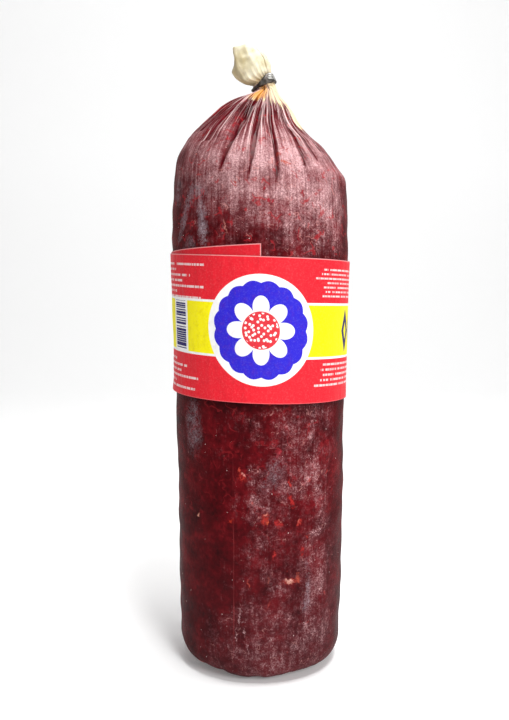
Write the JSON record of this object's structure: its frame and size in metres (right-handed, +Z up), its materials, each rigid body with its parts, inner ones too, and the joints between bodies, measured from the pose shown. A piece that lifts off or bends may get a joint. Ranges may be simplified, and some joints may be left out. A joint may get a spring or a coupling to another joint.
{
  "type": "cured sausage",
  "caption": "Large cured sausage in a clear casing, gathered and clipped at both ends, with a paper label wound round its upper half; it stands on its flattened lower end.",
  "frame": {"origin": "on the sausage's axis, on the surface that it stands on", "axes": "+Z up along the sausage's length, -Y the front, where the label's round motif is, +X to the right seen from the front"},
  "size_m": [0.1024, 0.1021, 0.3508],
  "materials": {
    "casing_film": "thin satin film over dark red meat, hazy in patches and cream where it is gathered",
    "cured_meat": "dense dark red minced meat with small flecks of fat",
    "label_paper": "printed coated paper, semi-matt",
    "clip_aluminium": "dull grey crimped wire, bright where it is rubbed"
  },
  "bodies": {
    "root": {"casing": "casing_film", "meat_filling": "cured_meat", "paper_label": "label_paper", "upper_clip": "clip_aluminium", "lower_clip": "clip_aluminium"}
  },
  "joints": []
}
